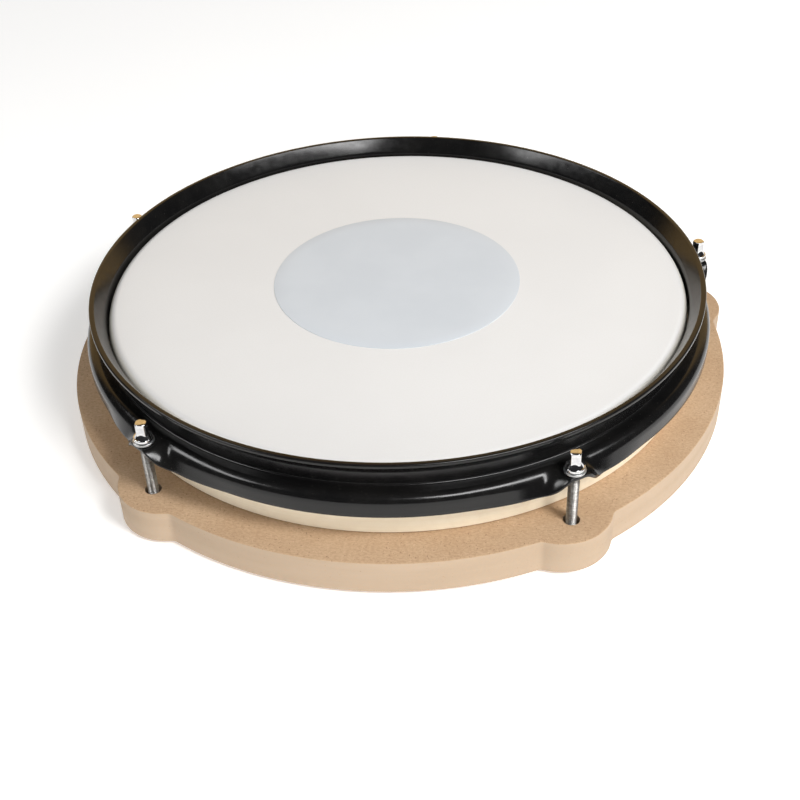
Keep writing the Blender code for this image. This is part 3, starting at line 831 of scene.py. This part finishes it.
def build_washer(number, mat):
    """Flat washer with rolled edges."""
    node = f"rod_washer_{number}"
    low, high = node_box(node)
    bore, ease = 3.2, 0.3
    profile = box_ring(bore, node_radius(node), low[2], high[2], ease)
    washer = turned(f"washer_{number}_body", profile, mat, 64, ROD_CENTRES[number - 1])
    settle(washer, "hoop", node)


def build_nut(number, mat):
    """Flanged nut let into the underside, its flange notched where the prongs were folded up."""
    node = f"t_nut_{number}"
    low, high = node_box(node)
    flange, barrel, bore, flange_t = node_radius(node), 3.75, 2.98, 1.2
    notches, notch_depth = 4, 2.6
    shoulder = low[2] + flange_t

    def notched(angle, radius):
        """The flange's radius at this angle; the barrel stays round."""
        if radius < barrel + 1.5:
            return radius
        wave = abs(((angle / (2.0 * math.pi) * notches) % 1.0) - 0.5) * 2.0
        return radius - notch_depth * smooth((wave - 0.80) / 0.06)

    profile = rounded([(bore, low[2], 0.3), (flange, low[2], 0.3), (flange, shoulder, 0.3),
                       (barrel, shoulder, 0.4), (barrel, high[2], 0.3), (bore, high[2], 0.2)], 3)
    nut = turned(f"nut_{number}_body", profile, mat, 120, ROD_CENTRES[number - 1], notched)
    settle(nut, "pad_base", node)


def build_screw(number, mat):
    """Countersunk wood screw driven up into the riser."""
    node = f"riser_screw_{number}"
    low, high = node_box(node)
    head_r = node_radius(node)
    shank, pitch, taper, head_edge, thread_depth = 2.1, 1.6, 4.0, 0.5, 0.24

    def radius_at(angles, level):
        """Countersunk head, then a shank with a coarse thread that tapers to the tip."""
        sink = head_r - max(level - low[2] - head_edge, 0.0) * 0.95
        body = shank * min(1.0, 0.15 + (high[2] - level) / taper)
        phase = (level / pitch - angles / (2.0 * math.pi)) % 1.0
        thread = smooth((level - low[2] - 8.0) / 2.0)
        body = body * (1.0 - thread_depth * thread * np.clip(np.abs(phase - 0.5) * 3.2 - 0.1, 0.0, 1.0))
        return np.maximum(body, max(sink, 0.0))

    levels = [low[2], low[2] + 0.25, low[2] + head_edge]
    levels += list(np.arange(low[2] + 0.8, high[2], 0.2)) + [high[2]]
    screw = shaft(f"screw_{number}_body", radius_at, levels, mat, 32, node_centre(node)[:2])
    settle(screw, "pad_base", node)


# ---------------------------------------------------------------- light, floor and camera

def build_floor():
    """Pale studio floor that glows a little, so that it looks as white as the background from the camera."""
    s = Shader("studio_floor", (0.9, 0.9, 0.9), 0.9)
    tone = s.spread(s.noise(3.0, 2.0), 0.3, 0.7)
    s.link(s.mix(tone, (0.89, 0.89, 0.89), (0.91, 0.91, 0.91)), "Base Color")
    s.set("Emission Color", (1.0, 1.0, 1.0, 1.0))
    s.set("Emission Strength", FLOOR_GLOW)
    s.set("Specular IOR Level", 0.0)
    corners = ((-1.0, -1.0), (1.0, -1.0), (1.0, 1.0), (-1.0, 1.0))
    verts = [(x * FLOOR_HALF_SIZE / MM, y * FLOOR_HALF_SIZE / MM, -FLOOR_DROP / MM) for x, y in corners]
    floor = make_piece("studio_floor_plane", verts, [(0, 1, 2, 3)], s.mat)


def build_world():
    """White to the camera and soft white light; reflections see a dark room with a warm wall at the back."""
    world = bpy.data.worlds.new("studio")
    bpy.context.scene.world = world
    world.use_nodes = True
    tree = world.node_tree
    tree.nodes.clear()
    new, link = tree.nodes.new, tree.links.new
    coords, split = new("ShaderNodeTexCoord"), new("ShaderNodeSeparateXYZ")
    link(coords.outputs["Generated"], split.inputs[0])

    # The wall is where a reflection looks away from the camera and less than about 45 degrees up.
    azimuth = math.radians(CAM_AZIMUTH)
    away = math_node(tree, "ADD", math_node(tree, "MULTIPLY", split.outputs["X"], -math.sin(azimuth)),
                     math_node(tree, "MULTIPLY", split.outputs["Y"], math.cos(azimuth)))
    behind = spread_node(tree, away, 0.5, 0.7)
    below = math_node(tree, "SUBTRACT", 1.0, spread_node(tree, split.outputs["Z"], 0.68, 0.76))
    wall = math_node(tree, "MULTIPLY", behind, below)
    tint = new("ShaderNodeMix")
    tint.data_type = "RGBA"
    link(wall, tint.inputs[0])
    tint.inputs[6].default_value = (0.03, 0.03, 0.032, 1.0)
    tint.inputs[7].default_value = (0.95, 0.62, 0.26, 1.0)
    rays = new("ShaderNodeLightPath")
    glossy, soft, seen = (new("ShaderNodeBackground") for _ in range(3))
    link(tint.outputs[2], glossy.inputs["Color"])
    soft.inputs["Color"].default_value = (1.0, 0.99, 0.97, 1.0)
    soft.inputs["Strength"].default_value = SOFT_LIGHT
    seen.inputs["Color"].default_value = (1.0, 1.0, 1.0, 1.0)
    by_glossy, by_camera = new("ShaderNodeMixShader"), new("ShaderNodeMixShader")
    link(rays.outputs["Is Glossy Ray"], by_glossy.inputs[0])
    link(soft.outputs[0], by_glossy.inputs[1])
    link(glossy.outputs[0], by_glossy.inputs[2])
    link(rays.outputs["Is Camera Ray"], by_camera.inputs[0])
    link(by_glossy.outputs[0], by_camera.inputs[1])
    link(seen.outputs[0], by_camera.inputs[2])
    link(by_camera.outputs[0], new("ShaderNodeOutputWorld").inputs["Surface"])


def add_softbox(name, azimuth_deg, elevation_deg, distance, size, power, colour=(1.0, 1.0, 1.0)):
    """Softbox aimed at the pad, in metres and watts; azimuth 0 is on the camera's side, 90 on its right."""
    turn = math.radians(azimuth_deg + CAM_AZIMUTH)
    rise = math.radians(elevation_deg)
    back = Vector((math.sin(turn) * math.cos(rise), -math.cos(turn) * math.cos(rise), math.sin(rise)))
    data = bpy.data.lights.new(name, "AREA")
    data.shape = "RECTANGLE"
    data.size, data.size_y = size
    data.energy = power
    data.color = colour
    lamp = bpy.data.objects.new(name, data)
    bpy.context.scene.collection.objects.link(lamp)
    lamp.location = back * distance + Vector((0.0, 0.0, LIGHT_TARGET_Z))
    lamp.rotation_mode = "QUATERNION"
    lamp.rotation_quaternion = (-back).to_track_quat("-Z", "Y")
    lamp.visible_camera = False
    return lamp


def make_camera():
    """Camera at the photograph's viewing angle."""
    azimuth, elevation = math.radians(CAM_AZIMUTH), math.radians(CAM_ELEVATION)
    back = Vector((math.sin(azimuth) * math.cos(elevation), -math.cos(azimuth) * math.cos(elevation),
                   math.sin(elevation)))
    forward = -back
    right = Vector((math.cos(azimuth), math.sin(azimuth), 0.0))
    up = right.cross(forward)
    turn = Matrix.Rotation(math.radians(CAM_YAW), 3, up)
    forward, right = turn @ forward, turn @ right
    turn = Matrix.Rotation(math.radians(CAM_PITCH), 3, right)
    forward, up = turn @ forward, turn @ up
    turn = Matrix.Rotation(math.radians(CAM_ROLL), 3, forward)
    right, up = turn @ right, turn @ up
    data = bpy.data.cameras.new("camera")
    data.lens, data.sensor_width = CAM_LENS, CAM_SENSOR
    data.clip_start, data.clip_end = 0.01, 60.0
    camera = bpy.data.objects.new("camera", data)
    bpy.context.scene.collection.objects.link(camera)
    place = Vector((0.0, 0.0, RIM_TOP * MM)) + back * CAM_DISTANCE * RIM_R * MM
    camera.matrix_world = Matrix.Translation(place) @ Matrix((right, up, -forward)).transposed().to_4x4()
    bpy.context.scene.camera = camera


def light_pad():
    """Two softboxes that light the pad and two strips that only show in its reflections."""
    key = add_softbox("key", 44.0, 46.0, distance=1.7, size=(0.5, 0.5), power=23.0,
                      colour=(1.0, 0.985, 0.965))
    fill = add_softbox("front_fill", -4.0, 8.0, distance=1.9, size=(1.6, 0.5), power=7.0,
                       colour=(1.0, 0.99, 0.98))
    for lamp in (key, fill):
        lamp.visible_glossy = False
    right = add_softbox("right_strip", 44.0, 52.0, distance=1.7, size=(1.4, 0.36), power=26.0)
    left = add_softbox("left_strip", -84.0, 44.0, distance=1.7, size=(1.2, 0.34), power=11.0)
    for lamp in (right, left):
        lamp.visible_diffuse = False


def build():
    """Make every piece, then the studio."""
    enamel, chrome, zinc = enamel_material(), rod_material(), zinc_material()
    build_plain_disc("grip_mat", "grip_sheet", 0.35, rubber_material())
    build_board(fibreboard_material())
    build_riser(riser_material())
    build_plain_disc("support_board_disc", "support_disc", 0.8, support_material())
    foam = build_plain_disc("foam_layer", "foam_pad", 1.2, foam_material(), bulge=0.5)
    build_flesh_hoop(alloy_material())
    build_head(film_material())
    build_dot(dot_material())
    build_hoop(enamel)
    for number in range(1, LUGS + 1):
        build_rod(number, chrome)
        build_washer(number, zinc)
        build_nut(number, zinc)
        build_screw(number, zinc)
    build_floor()
    build_world()
    light_pad()
    make_camera()
    bpy.context.scene.view_settings.view_transform = "Standard"
    bpy.context.scene.view_settings.look = "None"


build()
